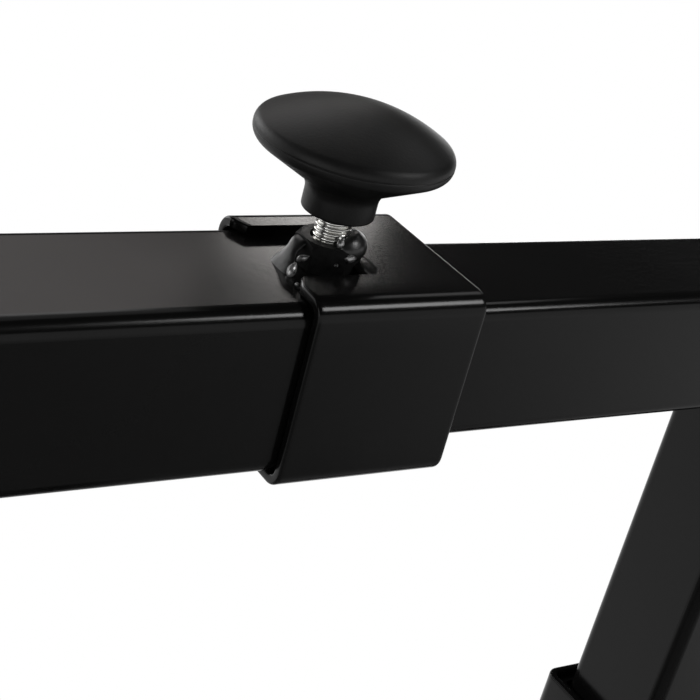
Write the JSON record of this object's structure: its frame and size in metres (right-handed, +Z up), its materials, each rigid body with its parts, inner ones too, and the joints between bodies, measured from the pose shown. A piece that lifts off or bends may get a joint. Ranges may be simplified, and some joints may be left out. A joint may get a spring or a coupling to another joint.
{
  "type": "keyboard stand",
  "caption": "Z-shaped keyboard stand of black square tube, with telescopic crossbars and legs that are clamped by mushroom knobs on welded nuts.",
  "frame": {"origin": "on the floor, under the middle of the stand's box", "axes": "+X along the crossbars from the outer tube to the inner tube, +Y from the knob side to the arms' free ends, +Z up"},
  "size_m": [0.665, 0.466, 0.6187],
  "materials": {
    "black_powder_coat": "satin black powder coat",
    "painted_weld": "glossy black paint over weld beads",
    "zinc_steel": "bright zinc plating",
    "knob_plastic": "matte moulded",
    "cap_plastic": "matte moulded",
    "white_nylon": "natural nylon",
    "black_rubber": "matte rubber"
  },
  "bodies": {
    "left_base": {"left_foot": "black_powder_coat", "left_foot_caps": "cap_plastic", "left_glides": "black_rubber", "left_glide_screws": "zinc_steel", "left_lower_leg": "black_powder_coat", "left_leg_clamp_collar": "black_powder_coat", "left_leg_clamp_welds": "painted_weld", "left_leg_clamp_nut": "painted_weld", "lower_bar_outer": "black_powder_coat", "lower_clamp_collar": "black_powder_coat", "lower_clamp_welds": "painted_weld", "lower_clamp_nut": "painted_weld"},
    "left_top": {"left_upper_leg": "black_powder_coat", "left_leg_plug": "white_nylon", "left_arm": "black_powder_coat", "left_arm_pad": "black_rubber", "left_arm_cap": "cap_plastic", "top_bar_outer": "black_powder_coat", "top_bar_left_cap": "cap_plastic", "top_clamp_collar": "black_powder_coat", "top_clamp_welds": "painted_weld", "top_clamp_nut": "painted_weld"},
    "right_base": {"right_foot": "black_powder_coat", "right_foot_caps": "cap_plastic", "right_glides": "black_rubber", "right_glide_screws": "zinc_steel", "right_lower_leg": "black_powder_coat", "right_leg_clamp_collar": "black_powder_coat", "right_leg_clamp_welds": "painted_weld", "right_leg_clamp_nut": "painted_weld", "lower_bar_inner": "black_powder_coat", "lower_bar_plug": "white_nylon"},
    "right_top": {"right_upper_leg": "black_powder_coat", "right_leg_plug": "white_nylon", "right_arm": "black_powder_coat", "right_arm_pad": "black_rubber", "right_arm_cap": "cap_plastic", "top_bar_inner": "black_powder_coat", "top_bar_plug": "white_nylon", "top_bar_right_cap": "cap_plastic"},
    "top_thrust": {"top_clamp_thrust_pad": "white_nylon"},
    "top_knob": {"top_clamp_knob": "knob_plastic", "top_clamp_stud": "zinc_steel"},
    "lower_thrust": {"lower_clamp_thrust_pad": "white_nylon"},
    "lower_knob": {"lower_clamp_knob": "knob_plastic", "lower_clamp_stud": "zinc_steel"},
    "left_leg_thrust": {"left_leg_clamp_thrust_pad": "white_nylon"},
    "left_leg_knob": {"left_leg_clamp_knob": "knob_plastic", "left_leg_clamp_stud": "zinc_steel"},
    "right_leg_thrust": {"right_leg_clamp_thrust_pad": "white_nylon"},
    "right_leg_knob": {"right_leg_clamp_knob": "knob_plastic", "right_leg_clamp_stud": "zinc_steel"}
  },
  "joints": [
    {"name": "width_slide", "type": "slide", "parent": "left_base", "child": "right_base", "axis": [1, 0, 0], "range_m": [-0.1, 0.2]},
    {"name": "left_height_slide", "type": "slide", "parent": "left_base", "child": "left_top", "axis": [0, -0.4226, 0.9063], "range_m": [-0.08, 0.12]},
    {"name": "right_height_slide", "type": "slide", "parent": "right_base", "child": "right_top", "axis": [0, -0.4226, 0.9063], "range_m": [-0.08, 0.12]},
    {"name": "top_screw_travel", "type": "slide", "parent": "left_top", "child": "top_thrust", "axis": [0, -0.4226, 0.9063], "range_m": [0, 0.00251]},
    {"name": "top_knob_turn", "type": "hinge", "parent": "top_thrust", "child": "top_knob", "pos_m": [0.151, -0.09963, 0.56388], "axis": [0, -0.4226, 0.9063], "range_deg": [0, 720]},
    {"name": "lower_screw_travel", "type": "slide", "parent": "left_base", "child": "lower_thrust", "axis": [0, -0.4226, 0.9063], "range_m": [0, 0.00251]},
    {"name": "lower_knob_turn", "type": "hinge", "parent": "lower_thrust", "child": "lower_knob", "pos_m": [0.151, 0.08929, 0.15876], "axis": [0, -0.4226, 0.9063], "range_deg": [0, 720]},
    {"name": "left_leg_screw_travel", "type": "slide", "parent": "left_base", "child": "left_leg_thrust", "axis": [0, -0.9063, -0.4226], "range_m": [0, 0.00251]},
    {"name": "left_leg_knob_turn", "type": "hinge", "parent": "left_leg_thrust", "child": "left_leg_knob", "pos_m": [-0.31, -0.03032, 0.41524], "axis": [0, -0.9063, -0.4226], "range_deg": [0, 720]},
    {"name": "right_leg_screw_travel", "type": "slide", "parent": "right_base", "child": "right_leg_thrust", "axis": [0, -0.9063, -0.4226], "range_m": [0, 0.00251]},
    {"name": "right_leg_knob_turn", "type": "hinge", "parent": "right_leg_thrust", "child": "right_leg_knob", "pos_m": [0.31, -0.03032, 0.41524], "axis": [0, -0.9063, -0.4226], "range_deg": [0, 720]}
  ],
  "couplings": [
    {"joint": "right_height_slide", "follows": "left_height_slide", "ratio": 1},
    {"joint": "top_screw_travel", "follows": "top_knob_turn", "m_per_rad": 0.00019894},
    {"joint": "lower_screw_travel", "follows": "lower_knob_turn", "m_per_rad": 0.00019894},
    {"joint": "left_leg_screw_travel", "follows": "left_leg_knob_turn", "m_per_rad": 0.00019894},
    {"joint": "right_leg_screw_travel", "follows": "right_leg_knob_turn", "m_per_rad": 0.00019894}
  ]
}
